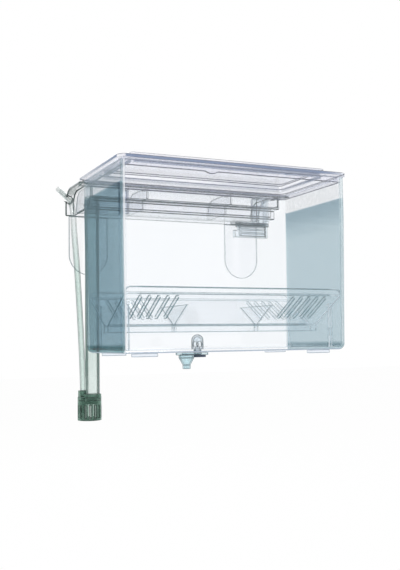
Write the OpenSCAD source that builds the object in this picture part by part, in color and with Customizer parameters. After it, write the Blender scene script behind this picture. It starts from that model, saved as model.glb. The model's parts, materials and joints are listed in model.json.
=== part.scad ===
// Hang-on fish breeding box: a clear box that hangs on the wall of a fish tank, with a lid,
// a V-shaped fry tray, an air-lift water inlet, a guarded water outlet and a drain valve.
// Millimetres. X runs along the box, +Y towards the tank, +Z up.
// The origin is the middle of the seat that rests on the tank wall.
// Inside the modules, places are measured from the box's front left corner at its underside.

/* [Box] */
// Outside length of the box at its rim
box_length = 192; // [170:1:230]
// Outside depth of the box at its rim, front to back
box_depth = 93; // [86:1:110]
// Height of the walls above the underside of the floor
box_height = 139; // [130:1:165]
// Thickness of the walls
wall = 2; // [1.5:0.1:2.6]
// Thickness of the floor
floor_thickness = 2.2; // [1.6:0.1:3.2]
// How far each wall leans in from the straight band down to the floor
draft = 1.7; // [0.4:0.1:2.4]
// Radius of the upright outside corners
corner_radius = 6; // [4:0.5:6.5]
// Radius of the outside edge round the floor
floor_radius = 5; // [3.5:0.5:7]
// How far the straight band at the top of the walls reaches below the outlet's rail
band_margin = 0.6; // [0.2:0.1:4]

/* [Feet] */
// Length of each foot pad
foot_length = 20; // [12:1:30]
// Width of each foot pad
foot_width = 7; // [5:0.5:10]
// Height of each foot pad
foot_height = 2.5; // [1.5:0.1:4]
// Distance from the box's ends to the pads
foot_inset_x = 12; // [10:1:20]
// Distance from the box's front and back to the pads
foot_inset_y = 9; // [9:1:14]

/* [Lid] */
// How far the lid's rim stands out past the walls
lid_overhang = 1.6; // [1:0.1:3]
// Thickness of the lid's rim
lid_rim = 3; // [2.4:0.1:4]
// Distance from the walls' outside to the raised panel
panel_inset = 10; // [8:0.5:16]
// Height of the raised panel above the rim
panel_rise = 4.8; // [1.5:0.1:5]
// Slope of the raised panel's sides, measured in plan
panel_bevel = 1.6; // [0.5:0.1:3]
// Radius of the raised panel's corners
panel_corner = 6; // [5.5:0.5:12]
// Thickness of the lid over the pocket under the raised panel
lid_skin = 2; // [1.5:0.1:2.4]
// Depth of the locating lip under the lid
lip_depth = 4.6; // [3:0.1:5]
// Thickness of the locating lip
lip_thickness = 1.6; // [1.2:0.1:2.4]
// Clearance between the lip and the walls
lid_clearance = 0.4; // [0.3:0.1:0.8]
// Clearance under the lip for the duct and the spout
lip_room = 0.4; // [0.3:0.1:0.8]
// Width of the catch on the lip
catch_width = 11; // [8:0.5:16]
// How far the catch reaches below the lip
catch_drop = 1.6; // [1:0.1:2.4]
// Distance of the catch from the box's left end
catch_x = 73; // [50:1:110]

/* [Hook over the tank wall] */
// Width of the slot for the tank wall
slot_gap = 9; // [7:0.5:12]
// Depth of the seat below the top of the walls
seat_drop = 13; // [12:0.5:16]
// Thickness of the hook's plates
hook_wall = 2.2; // [1.8:0.1:2.6]
// Depth of the water channel behind the tank wall
channel_depth = 43; // [40:1:50]
// How far the channel's floor lies below the seat
channel_drop = 8; // [6:0.5:11]
// Height of the hood above the walls
hood_rise = 2; // [1:0.1:2.6]
// Radius of the hood's back edge
hood_radius = 15; // [12:0.5:17]
// Distance from the hood's ends to the channel's end plates
end_inset = 7; // [6.6:0.1:8]
// Gap between the lid's back edge and the hood
lid_gap = 0.5; // [0.3:0.1:1]
// Thickness of the two dividers in the channel
divider_thickness = 1.8; // [1.4:0.1:2.6]
// Distance of the left divider from the left end
left_divider_x = 56; // [48:1:70]
// Distance of the right divider from the right end
right_divider_x = 57; // [50:1:70]
// Clearance of the dividers under the hood
divider_clearance = 0.3; // [0.2:0.1:0.6]

/* [Tongues] */
// Width of each tongue
tongue_width = 35; // [24:1:36]
// Length of each tongue below the channel
tongue_length = 51; // [36:1:64]
// Thickness of each tongue
tongue_thickness = 2; // [1.6:0.1:3]
// Distance of each tongue from the nearer end
tongue_inset = 3; // [2:0.5:6]

/* [Inlet spout] */
// Width of the spout
spout_width = 7.6; // [6.4:0.2:12]
// How far the spout stands out from the back wall
spout_depth = 5; // [4:0.5:8]
// Wall of the spout
spout_wall = 1; // [0.8:0.1:1.4]
// Middle of the spout from the left end
spout_x = 34; // [30:1:44]
// Length of the spout below the deck
spout_drop = 15; // [10:1:22]

/* [Outlet] */
// Width of the outlet duct
duct_width = 12.3; // [10:0.1:16]
// How far the outlet duct stands out from the back wall
duct_depth = 9.4; // [9:0.1:12]
// Wall of the outlet duct
duct_wall = 1.2; // [1:0.1:1.5]
// Distance of the duct's middle from the right end
duct_inset = 31.3; // [27:0.1:40]
// Height of the duct above the guard
duct_height = 22; // [18:0.1:24]
// Length of the guard
guard_length = 28.5; // [22:0.5:40]
// Height of the guard
guard_height = 12.5; // [9:0.5:16]
// Wall of the guard
guard_wall = 1.1; // [0.9:0.1:1.3]
// Number of rows of slots in the guard
guard_rows = 3; // [2:1:4]
// Running clearance of the guard in its rail
guard_clearance = 0.3; // [0.2:0.05:0.5]
// Length of the guard's pull tab
tab_length = 4; // [3:0.5:8]
// Thickness of the plates of the rail
rail_plate = 1.1; // [0.9:0.1:1.4]
// Reach of the rail's toes under the guard
rail_toe = 1; // [0.8:0.1:1.2]
// Length of the slot in the channel floor where water runs out
return_length = 22; // [16:1:30]
// Width of that slot
return_width = 9; // [5:0.5:12]
// Distance of that slot from the channel's end plate
return_margin = 2; // [1:0.5:6]

/* [Lift tube and strainer] */
// Outside diameter of the lift tube
lift_od = 12; // [11:0.1:12.4]
// Bore of the lift tube
lift_id = 9.6; // [8:0.1:10]
// Middle of the lift tube from the left end
lift_x = 16.3; // [16.2:0.1:22]
// Middle of the lift tube behind the channel's front
lift_back = 18; // [16:0.5:19]
// Height of the lift tube's mouth above the channel floor
lift_mouth = 13.5; // [11:0.5:15]
// How far the lift tube reaches below the box
lift_reach = 38.7; // [30:0.1:52]
// Fit clearance of the lift tube in its sockets, on the radius
lift_fit = 0.05; // [0.02:0.01:0.1]
// Wall of the socket round the lift tube on the channel floor
lift_socket_wall = 1; // [0.8:0.1:1]
// Height of that socket
lift_socket_height = 5; // [3:0.5:7]
// Outside diameter of the strainer
cage_od = 19.8; // [19.6:0.1:24]
// Wall of the strainer cage
cage_wall = 1.2; // [1:0.05:1.25]
// Length of the strainer cage
cage_length = 16.6; // [13:0.1:26]
// Thickness of the cage's bottom
cage_floor = 1.2; // [0.8:0.1:2]
// Number of slots round the cage
cage_slots = 14; // [8:1:16]
// Width of a slot in the cage
cage_slot = 1.5; // [1:0.1:1.8]
// Height of the plain band above and below the slots
cage_band = 1; // [0.6:0.1:2]
// Width of a slot in the cage's bottom
bottom_slot = 1.2; // [0.8:0.1:1.6]
// Spacing of the slots in the cage's bottom
bottom_pitch = 2.5; // [2.2:0.1:2.8]
// Length of the slots in the cage's bottom
bottom_slot_length = 10; // [6:0.5:11]
// Thickness of the strainer cap's plate
cap_plate = 2.5; // [2:0.1:4]
// Thickness of the cap's ledge under the lift tube
cap_ledge = 1; // [0.8:0.1:1.6]
// Depth of the cap's spigot inside the cage
cap_spigot = 3; // [2:0.1:4.5]
// Sliding clearance of the cage on the spigot, on the radius
cage_fit = 0.06; // [0.03:0.01:0.1]
// Height of the hose's socket above the cap's plate
hose_collar = 5.4; // [4:0.1:8]
// Wall of the hose's socket
hose_collar_wall = 1.6; // [1:0.1:2]
// Height of the collar round the lift tube above the cap's plate
lift_collar = 2.7; // [2:0.1:6]
// Wall of that collar
lift_collar_wall = 1.1; // [0.8:0.1:1.6]
// Outside diameter of the air nozzle
nozzle_od = 4.2; // [3.6:0.1:4.4]
// Bore of the air nozzle
nozzle_id = 2.4; // [1.6:0.1:2.6]
// Gap between the air nozzle's tip and the cage's bottom
nozzle_gap = 1.6; // [1:0.1:3]
// Thickness of the air nozzle's closed end
nozzle_end = 1; // [0.6:0.1:2]
// Diameter of the air nozzle's side port
nozzle_port = 1.6; // [1:0.1:2]

/* [Air hose] */
// Outside diameter of the air hose
hose_od = 5; // [4.6:0.1:5.2]
// Clearance of the hose in the hood's notch, on the radius
hose_clearance = 0.3; // [0.1:0.05:0.4]
// Clearance of the hose in its socket, on the radius
hose_socket_fit = 0.1; // [0.05:0.01:0.2]
// Thickness of the stop under the hose's end
hose_stop = 0.6; // [0.4:0.1:0.7]
// Width of the notch's snap-in mouth
notch_mouth = 4.2; // [3.6:0.1:4.6]

/* [Fry tray] */
// Gap between the tray and the walls
tray_gap = 0.8; // [0.4:0.1:2]
// Thickness of the tray's plates
tray_plate = 1.8; // [1.4:0.1:2.4]
// Height of the tray's rim above the underside of the box
tray_rim = 48.3; // [44:0.1:60]
// Height of the upright lip above the slopes
tray_lip = 4.6; // [3:0.1:8]
// Height of the lower end of the slopes
tray_throat = 21.5; // [19:0.1:26]
// Height of the chute's mouth
tray_mouth = 15.3; // [15:0.1:17]
// Width of the chute between the two plates
chute_gap = 7; // [5:0.5:12]
// Radius of the lip's upper corners
tray_corner = 5; // [2:0.5:7]
// Number of slots in each group
slot_count = 5; // [3:1:6]
// Spacing of the slots
slot_pitch = 7.2; // [5:0.1:8]
// Width of a slot
slot_width = 1.2; // [1:0.1:2.4]
// Distance of the first slot from the box's end
slot_start = 17.6; // [15:0.1:22]
// Height of the slots' upper ends below the slopes' upper edge
slot_top_margin = 2; // [1.5:0.1:4]
// Height of the slots' lower ends above the slopes' lower edge
slot_bottom_margin = 6; // [3:0.1:7]
// Distance of each cross web from the box's end
web_x = 59.5; // [56:0.5:75]
// Height of the webs' upper edge above the underside of the box
web_top = 36; // [30:0.5:40]
// Distance of the legs from the rounded edge of the floor
leg_margin = 0.4; // [0.3:0.1:5]
// Distance of the legs from the box's front and back
leg_inset_y = 13; // [10:0.5:20]
// Width of a leg along the box
leg_width = 4; // [2:0.5:5]
// Thickness of a leg
leg_thickness = 2.4; // [1.8:0.1:4]

/* [Drain] */
// Distance of the valve from the left end
valve_x = 79.5; // [70:0.5:110]
// Distance between the valve and the outlet nozzle
valve_offset = 9.6; // [9.5:0.1:12]
// Diameter of the valve's dome
dome_od = 9.6; // [9:0.1:11]
// Height of the dome above the floor
dome_height = 11.4; // [9:0.1:12]
// Wall of the dome
dome_wall = 1.4; // [1:0.1:1.8]
// Diameter of the ports in the dome
port_diameter = 4.2; // [3:0.1:4.6]
// Diameter of the valve's neck
neck_od = 6; // [5:0.1:6.2]
// Bore of the valve's neck
neck_id = 3.6; // [2.4:0.1:3.8]
// Running clearance of the neck, on the radius
neck_fit = 0.05; // [0.02:0.01:0.1]
// Thickness of the outlet's flange
flange_thickness = 2; // [1.6:0.1:2.4]
// Width of the outlet's flange
flange_width = 17; // [15:0.5:22]
// Thickness of the gasket over the flange
gasket_thickness = 0.6; // [0.4:0.1:1]
// Width of the gasket's ring
gasket_ring = 2; // [1.5:0.1:2.5]
// Upper outside diameter of the nozzle
nozzle_top = 12.4; // [11:0.1:12.4]
// Outside diameter of the nozzle's tip
tip_od = 6.4; // [6:0.1:8]
// Bore of the nozzle's tip
tip_id = 4.4; // [3.6:0.1:4.8]
// Height of the plain band above the nozzle's cone
nozzle_band = 2.2; // [1:0.1:4]
// Length of the nozzle's cone
cone_length = 5.5; // [4:0.5:12]
// Length of the nozzle's straight tip
tip_length = 3; // [2:0.5:6]
// Thickness of the valve's lever
lever_thickness = 1.8; // [1.4:0.1:2.4]
// Length of the lever from the valve's axis
lever_length = 7; // [6:0.5:14]
// Width of the lever
lever_width = 4.4; // [3:0.1:5]

/* [Hidden] */

clear_plastic = [0.86, 0.91, 0.93, 0.45];
lid_plastic = [0.78, 0.77, 0.88, 0.6];
dark_plastic = [0.3, 0.42, 0.38, 0.8];
hose_plastic = [0.85, 0.9, 0.9, 0.6];
gasket_rubber = [0.25, 0.28, 0.3];
lever_plastic = [0.32, 0.36, 0.44];

round_fn = 64;
hull_fn = 32;
small_fn = 24;
// How far a cut runs past the face that it opens
cut = 1;
foot_flat = 0.5;

seat_z = box_height - seat_drop;
jaw_y = box_depth + slot_gap;
channel_back = jaw_y + channel_depth;
channel_floor = seat_z - channel_drop;
hood_top = box_height + hood_rise;
deck_top = seat_z + hook_wall;
inner_back = box_depth - wall;
channel_left = end_inset + hook_wall;
channel_length = box_length - 2 * end_inset;

window_height = box_height - lip_depth - lip_room - duct_wall - deck_top;
duct_x = box_length - duct_inset;
duct_foot = deck_top + window_height - duct_height + duct_wall;
rail_y = inner_back - duct_depth;
guard_right = duct_x + duct_width / 2;
guard_left = guard_right - guard_length;
flange_drop = 1.6;
rail_depth = flange_drop + 2 * guard_clearance + rail_plate;
rail_foot = duct_foot - rail_plate - rail_depth;
return_x = box_length - channel_left - return_margin - return_length;
return_y = channel_back - hook_wall - tongue_thickness - return_width;

band_start = rail_foot - band_margin;
lean = draft / band_start;
tray_lean = draft - lean * (tray_rim - tray_lip);
tray_start = wall + tray_lean + tray_gap;
slope_top = tray_rim - tray_lip;
chute_y = (box_depth - chute_gap) / 2;
slope_run = chute_y - tray_start - tray_plate;
slope_angle = atan((slope_top - tray_throat) / slope_run);
slope_drop = tray_plate / cos(slope_angle) - tray_plate * tan(slope_angle);
leg_x = draft + floor_radius + leg_margin;

// The strainer and the hose's socket lie beside the lift tube, to the left and behind it
cage_shift = 2.1;
hose_shift = 6.4;
lift_y = jaw_y + lift_back;
cage_x = lift_x - cage_shift;
cage_y = lift_y + cage_shift;
cage_id = cage_od - 2 * cage_wall;
hose_x = lift_x - hose_shift;
hose_y = lift_y + hose_shift;
cap_bottom = -lift_reach - cap_ledge;
cap_top = cap_bottom + cap_plate;
cage_bottom = cap_bottom - cage_length;

drain_y = box_depth / 2;
nozzle_x = valve_x - valve_offset;
flange_top = -gasket_thickness;
flange_bottom = flange_top - flange_thickness;
cone_top = flange_bottom - nozzle_band;
cone_bottom = cone_top - cone_length;
dome_radius = dome_od / 2;
passage_floor = 0.6;
passage_side = 0.5;
neck_port = 1.6;

// Route of the air hose, from its socket on the strainer cap to its free end,
// measured from the origin at the seat
hose_route = [
    [-86.1, 28.9, -162.5], [-86.1, 28.9, -155], [-86.7, 29.4, -130], [-88.1, 30.4, -95],
    [-90, 31.8, -55], [-91.8, 33, -27], [-92.5, 33.4, -14], [-92.6, 34.6, -6.5],
    [-92.8, 38, 0.5], [-93.2, 42.6, 4.9], [-94.3, 48, 8.6], [-95.9, 54.5, 12.9], [-98.1, 63, 18.4]
];
hose_sides = 10;
hose_steps = 4;
notch_from = hose_route[9];
notch_to = hose_route[10];
notch_before = 8;
notch_length = 14;

module seated() translate([-box_length / 2, -box_depth - slot_gap / 2, -seat_z]) children();

// Rounded rectangle with one corner at the origin
module plan(size_x, size_y, r, sides = round_fn) {
    translate([r, 0]) square([size_x - 2 * r, size_y]);
    translate([0, r]) square([size_x, size_y - 2 * r]);
    for (x = [r, size_x - r], y = [r, size_y - r]) translate([x, y]) circle(r, $fn = sides);
}

// Plan of the box, moved in from its outside by inset
module box_plan(inset, sides = round_fn) {
    translate([inset, inset])
        plan(box_length - 2 * inset, box_depth - 2 * inset, corner_radius - inset, sides);
}

// Leaning form of the box: a straight band above rounded floor edges
module box_form(inset, bottom, top) {
    ball = floor_radius - inset;
    low = draft + inset + ball;
    hull() {
        translate([0, 0, band_start]) linear_extrude(top - band_start) box_plan(inset, hull_fn);
        for (x = [low, box_length - low], y = [low, box_depth - low])
            translate([x, y, bottom + ball]) sphere(ball, $fn = hull_fn);
        translate([low, low, bottom]) cube([box_length - 2 * low, box_depth - 2 * low, ball]);
    }
}

module box_shell() seated() color(clear_plastic) difference() {
    box_form(0, 0, box_height);
    box_form(wall, floor_thickness, box_height + cut);
    translate([spout_x - spout_width / 2 + spout_wall, inner_back - cut, deck_top])
        cube([spout_width - 2 * spout_wall, wall + 2 * cut, window_height]);
    translate([duct_x - duct_width / 2 + duct_wall, inner_back - cut, deck_top])
        cube([duct_width - 2 * duct_wall, wall + 2 * cut, window_height]);
    translate([valve_x, drain_y, -cut])
        cylinder(h = floor_thickness + 2 * cut, r = neck_od / 2 + neck_fit, $fn = round_fn);
}

// A pad with round ends under the floor
module foot(x, y) seated() color(clear_plastic) translate([x, y, -foot_height])
    linear_extrude(foot_height) plan(foot_length, foot_width, foot_width / 2 - foot_flat);

module foot_front_left() foot(foot_inset_x, foot_inset_y);
module foot_front_right() foot(box_length - foot_inset_x - foot_length, foot_inset_y);
module foot_back_left() foot(foot_inset_x, box_depth - foot_inset_y - foot_width);
module foot_back_right()
    foot(box_length - foot_inset_x - foot_length, box_depth - foot_inset_y - foot_width);

module panel_plan(inset, r) translate([inset, inset])
    plan(box_length - 2 * inset, box_depth - 2 * inset, r, hull_fn);

module lid_plate() {
    translate([-lid_overhang, -lid_overhang, box_height]) linear_extrude(lid_rim)
        plan(box_length + 2 * lid_overhang, jaw_y - lid_gap + lid_overhang,
            corner_radius + lid_overhang);
    hull() {
        translate([0, 0, box_height + lid_rim - cut]) linear_extrude(cut)
            panel_plan(panel_inset, panel_corner);
        translate([0, 0, box_height + lid_rim]) linear_extrude(panel_rise)
            panel_plan(panel_inset + panel_bevel, panel_corner - panel_bevel);
    }
}

module lid() seated() color(lid_plastic) {
    pocket = panel_inset + panel_bevel + lid_skin;
    difference() {
        lid_plate();
        translate([pocket, pocket, box_height - cut])
            linear_extrude(lid_rim + panel_rise - lid_skin + cut)
                plan(box_length - 2 * pocket, box_depth - 2 * pocket,
                    panel_corner - panel_bevel - lid_skin);
    }
    lip = wall + lid_clearance;
    translate([0, 0, box_height - lip_depth]) linear_extrude(lip_depth) difference() {
        box_plan(lip);
        box_plan(lip + lip_thickness);
    }
    catch_radius = (catch_width * catch_width / 4 + catch_drop * catch_drop) / (2 * catch_drop);
    intersection() {
        translate([catch_x, lip + lip_thickness, box_height - lip_depth - catch_drop + catch_radius])
            rotate([90, 0, 0]) cylinder(h = lip_thickness, r = catch_radius, $fn = round_fn);
        translate([catch_x - catch_width / 2, lip, box_height - lip_depth - catch_drop])
            cube([catch_width, lip_thickness, lip_depth + catch_drop]);
    }
}

// Carries a drawing of the side view (depth across, height up) along the box
module along(x, length) translate([x, 0, 0]) rotate([90, 0, 90]) linear_extrude(length) children();

// Side view of the channel behind the tank wall, with its rounded back edge:
// the floor side is moved in by inset, the hood side by under
module channel_side(inset, under) {
    arc_z = hood_top - hood_radius;
    translate([jaw_y + inset, channel_floor + inset])
        square([channel_depth - inset - under, arc_z - channel_floor - inset]);
    translate([jaw_y + inset, arc_z - cut])
        square([channel_depth - hood_radius - inset, hood_radius - under + cut]);
    intersection() {
        translate([channel_back - hood_radius, arc_z]) circle(hood_radius - under, $fn = round_fn);
        translate([channel_back - hood_radius - cut, arc_z - cut])
            square([hood_radius + cut, hood_radius + cut]);
    }
}

module hook_side() {
    channel_side(0, 0);
    translate([box_depth - corner_radius, seat_z]) square([slot_gap + corner_radius + cut, seat_drop]);
}

module hook_hollow_side() {
    channel_side(hook_wall, hook_wall);
    translate([box_depth - corner_radius - cut, deck_top])
        square([slot_gap + corner_radius + hook_wall + 2 * cut, seat_drop - 2 * hook_wall]);
}

// Side view of the hood alone, as it stands out past the channel's end plates
module hood_side() difference() {
    hook_side();
    channel_side(hook_wall, hook_wall);
    translate([box_depth - corner_radius - cut, channel_floor - cut])
        square([corner_radius + slot_gap + channel_depth - hook_wall + cut,
            hood_top - hood_radius - channel_floor + cut]);
    translate([box_depth - corner_radius - cut, channel_floor - cut])
        square([corner_radius + slot_gap + hook_wall + 2 * cut,
            box_height - hook_wall - channel_floor + cut]);
}

module hose_notch() {
    run = notch_to - notch_from;
    pan = atan2(run[1], run[0]);
    tilt = acos(run[2] / norm(run));
    translate([box_length / 2, box_depth + slot_gap / 2, seat_z])
        translate(notch_from) rotate([0, tilt, pan]) {
            translate([0, 0, -notch_before])
                cylinder(h = notch_length, r = hose_od / 2 + hose_clearance, $fn = round_fn);
            translate([-notch_mouth / 2, 0, -notch_before])
                cube([notch_mouth, notch_before, notch_length]);
        }
}

module rim_hook() seated() color(clear_plastic) difference() {
    union() {
        difference() {
            along(end_inset, channel_length) hook_side();
            along(channel_left, channel_length - 2 * hook_wall) hook_hollow_side();
        }
        along(0, end_inset) hood_side();
        along(box_length - end_inset, end_inset) hood_side();
        translate([lift_x, lift_y, channel_floor])
            cylinder(h = hook_wall + lift_socket_height, r = lift_od / 2 + lift_fit + lift_socket_wall,
                $fn = round_fn);
    }
    translate([0, 0, channel_floor - cut]) linear_extrude(hood_top) box_plan(0);
    translate([lift_x, lift_y, channel_floor - cut])
        cylinder(h = hook_wall + lift_socket_height + 2 * cut, r = lift_od / 2 + lift_fit,
            $fn = round_fn);
    translate([return_x, return_y, channel_floor - cut])
        cube([return_length, return_width, hook_wall + 2 * cut]);
    hose_notch();
}

// A plate across the channel, seated on its floor and deck
module divider(x) seated() color(clear_plastic) along(x, divider_thickness) {
    top = hook_wall + divider_clearance;
    channel_side(hook_wall, top);
    translate([box_depth, deck_top]) square([slot_gap + hook_wall + cut, seat_drop - hook_wall - top]);
}

module left_divider() divider(left_divider_x);
module right_divider() divider(box_length - right_divider_x);

// A U-shaped plate hanging from the back of the channel
module tongue(x) seated() color(clear_plastic)
    translate([x, channel_back, channel_floor]) rotate([90, 0, 0]) linear_extrude(tongue_thickness) {
        r = tongue_width / 2;
        translate([0, r - tongue_length]) square([tongue_width, tongue_length - r]);
        translate([r, r - tongue_length]) circle(r, $fn = round_fn);
    }

module left_tongue() tongue(tongue_inset);
module right_tongue() tongue(box_length - tongue_inset - tongue_width);

module inlet_spout() seated() color(clear_plastic) difference() {
    height = window_height + spout_drop + spout_wall;
    left = spout_x - spout_width / 2;
    front = inner_back - spout_depth;
    translate([left, front, deck_top - spout_drop]) cube([spout_width, spout_depth, height]);
    translate([left + spout_wall, front + spout_wall, deck_top - spout_drop - cut])
        cube([spout_width - 2 * spout_wall, spout_depth, height - spout_wall + cut]);
}

module outlet_duct() seated() color(clear_plastic) {
    left = duct_x - duct_width / 2;
    difference() {
        translate([left, rail_y, duct_foot]) cube([duct_width, duct_depth, duct_height]);
        translate([left + duct_wall, rail_y + duct_wall, duct_foot - cut])
            cube([duct_width - 2 * duct_wall, duct_depth, duct_height - duct_wall + cut]);
    }
    difference() {
        translate([guard_left, rail_y, duct_foot - rail_plate])
            cube([guard_length, duct_depth, rail_plate]);
        translate([left + duct_wall, rail_y + duct_wall, duct_foot - rail_plate - cut])
            cube([duct_width - 2 * duct_wall, duct_depth - 2 * duct_wall, rail_plate + 2 * cut]);
    }
    for (y = [rail_y, inner_back - rail_plate])
        translate([guard_left, y, rail_foot])
            cube([guard_length, rail_plate, rail_depth]);
    for (y = [rail_y + rail_plate, inner_back - rail_plate - rail_toe])
        translate([guard_left, y, rail_foot])
            cube([guard_length, rail_toe, rail_plate]);
}

module outlet_guard() seated() color(clear_plastic) {
    top = duct_foot - rail_plate - guard_clearance;
    body_y = rail_y + rail_plate + rail_toe + guard_clearance;
    body_depth = duct_depth - 2 * (rail_plate + rail_toe + guard_clearance);
    flange_y = rail_y + rail_plate + guard_clearance;
    gap_height = (guard_height - flange_drop) / (2 * guard_rows + 1);
    difference() {
        union() {
            translate([guard_left, body_y, top - guard_height])
                cube([guard_length, body_depth, guard_height]);
            translate([guard_left, flange_y, top - flange_drop])
                cube([guard_length, duct_depth - 2 * (rail_plate + guard_clearance), flange_drop]);
            translate([guard_left - tab_length, body_y, top - guard_height])
                cube([tab_length, body_depth, guard_height / 2]);
        }
        translate([guard_left + guard_wall, body_y + guard_wall, top - guard_height + guard_wall])
            cube([guard_length - 2 * guard_wall, body_depth - 2 * guard_wall, guard_height]);
        for (row = [0 : guard_rows - 1])
            translate([guard_left + 2 * guard_wall, body_y - cut,
                top - guard_height + (2 * row + 1) * gap_height])
                cube([guard_length - 4 * guard_wall, guard_wall + 2 * cut, gap_height]);
    }
}

module lift_tube() seated() color(clear_plastic) translate([lift_x, lift_y, -lift_reach]) difference() {
    height = lift_reach + channel_floor + lift_mouth;
    cylinder(h = height, d = lift_od, $fn = round_fn);
    translate([0, 0, -cut]) cylinder(h = height + 2 * cut, d = lift_id, $fn = round_fn);
}

module strainer_cap() seated() color(dark_plastic) difference() {
    union() {
        translate([cage_x, cage_y, cap_bottom]) cylinder(h = cap_plate, d = cage_od, $fn = round_fn);
        translate([cage_x, cage_y, cap_bottom - cap_spigot])
            cylinder(h = cap_spigot, r = cage_id / 2 - cage_fit, $fn = round_fn);
        translate([lift_x, lift_y, cap_top - cut])
            cylinder(h = lift_collar + cut, d = lift_od + 2 * lift_collar_wall, $fn = round_fn);
        translate([hose_x, hose_y, cap_top - cut])
            cylinder(h = hose_collar + cut, d = hose_od + 2 * hose_collar_wall, $fn = round_fn);
    }
    translate([lift_x, lift_y, cap_bottom - cap_spigot - cut])
        cylinder(h = cap_spigot + cap_plate + cut, d = lift_id, $fn = round_fn);
    translate([lift_x, lift_y, -lift_reach])
        cylinder(h = cap_plate + hose_collar + cut, r = lift_od / 2 + lift_fit, $fn = round_fn);
    translate([hose_x, hose_y, cap_top + hose_stop])
        cylinder(h = hose_collar + cut, r = hose_od / 2 + hose_socket_fit, $fn = round_fn);
    translate([hose_x, hose_y, cap_bottom - cap_spigot - cut])
        cylinder(h = cap_spigot + cap_plate + cut, r = nozzle_od / 2 + lift_fit, $fn = round_fn);
    translate([hose_x, hose_y, cap_top - cut]) cylinder(h = 2 * cut, d = nozzle_id, $fn = round_fn);
}

module strainer_cage() seated() color(dark_plastic) translate([cage_x, cage_y, cage_bottom]) {
    slot_height = cage_length - cap_spigot - cage_floor - 2 * cage_band;
    difference() {
        cylinder(h = cage_length, d = cage_od, $fn = round_fn);
        translate([0, 0, cage_floor]) cylinder(h = cage_length, d = cage_id, $fn = round_fn);
        for (i = [0 : cage_slots - 1]) rotate([0, 0, i * 360 / cage_slots])
            translate([cage_id / 2 - cut, -cage_slot / 2, cage_floor + cage_band])
                cube([cage_wall + 2 * cut, cage_slot, slot_height]);
        for (i = [-2 : 2])
            translate([i * bottom_pitch - bottom_slot / 2, -bottom_slot_length / 2, -cut])
                cube([bottom_slot, bottom_slot_length, cage_floor + 2 * cut]);
    }
}

module air_nozzle() seated() color(dark_plastic) translate([hose_x, hose_y, 0]) difference() {
    low = cage_bottom + cage_floor + nozzle_gap;
    translate([0, 0, low]) cylinder(h = cap_top - low, d = nozzle_od, $fn = round_fn);
    translate([0, 0, low + nozzle_end]) cylinder(h = cap_top - low, d = nozzle_id, $fn = round_fn);
    translate([0, 0, low + nozzle_end + nozzle_port]) rotate([0, 90, 0])
        cylinder(h = nozzle_od, d = nozzle_port, center = true, $fn = small_fn);
}

// A point of a smooth curve through the route, at share t between points i and i + 1
function route_at(p, i, t) =
    let (a = p[max(i - 1, 0)], b = p[i], c = p[i + 1], d = p[min(i + 2, len(p) - 1)])
    0.5 * (2 * b + (c - a) * t + (2 * a - 5 * b + 4 * c - d) * t * t
        + (3 * b - a - 3 * c + d) * t * t * t);

function unit(v) = v / norm(v);

module air_hose() color(hose_plastic) {
    last = len(hose_route) - 1;
    curve = [for (i = [0 : last - 1], s = [0 : hose_steps - 1]) route_at(hose_route, i, s / hose_steps)];
    mid = concat(curve, [hose_route[last]]);
    count = len(mid);
    rings = [for (k = [0 : count - 1])
        let (
            ahead = unit(mid[min(k + 1, count - 1)] - mid[max(k - 1, 0)]),
            side = unit(cross([0, 1, 0], ahead)),
            up = cross(ahead, side)
        )
        for (j = [0 : hose_sides - 1])
            mid[k] + hose_od / 2 * (cos(j * 360 / hose_sides) * side + sin(j * 360 / hose_sides) * up)];
    walls = [for (k = [0 : count - 2], j = [0 : hose_sides - 1])
        let (n = (j + 1) % hose_sides, a = k * hose_sides, b = a + hose_sides)
        each [[a + j, b + n, a + n], [a + j, b + j, b + n]]];
    start_cap = [for (j = [0 : hose_sides - 1]) j];
    end_cap = [for (j = [hose_sides - 1 : -1 : 0]) (count - 1) * hose_sides + j];
    polyhedron(rings, concat(walls, [start_cap, end_cap]));
}

// Side view of one tray plate: upright lip, slope and chute wall
module tray_side() polygon([
    [tray_start, tray_rim], [tray_start + tray_plate, tray_rim], [tray_start + tray_plate, slope_top],
    [chute_y, tray_throat], [chute_y, tray_mouth], [chute_y - tray_plate, tray_mouth],
    [chute_y - tray_plate, tray_throat - slope_drop], [tray_start, slope_top - slope_drop]
]);

// A slot with round ends, cut square through the slope at x
module slope_slot(x) {
    top_z = slope_top - slot_top_margin;
    low_z = tray_throat + slot_bottom_margin;
    reach = (top_z - low_z) / sin(slope_angle);
    top_y = tray_start + tray_plate + (slope_top - top_z) / tan(slope_angle);
    translate([x, top_y, top_z]) rotate([-slope_angle, 0, 0]) {
        translate([-slot_width / 2, 0, -2 * tray_plate]) cube([slot_width, reach, 4 * tray_plate]);
        for (y = [0, reach]) translate([0, y, -2 * tray_plate])
            cylinder(h = 4 * tray_plate, d = slot_width, $fn = small_fn);
    }
}

// Height of the middle of the slope at a place y
function leg_top(y) = slope_top - slope_drop + tray_plate / 2 - (y - tray_start) * tan(slope_angle);

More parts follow.
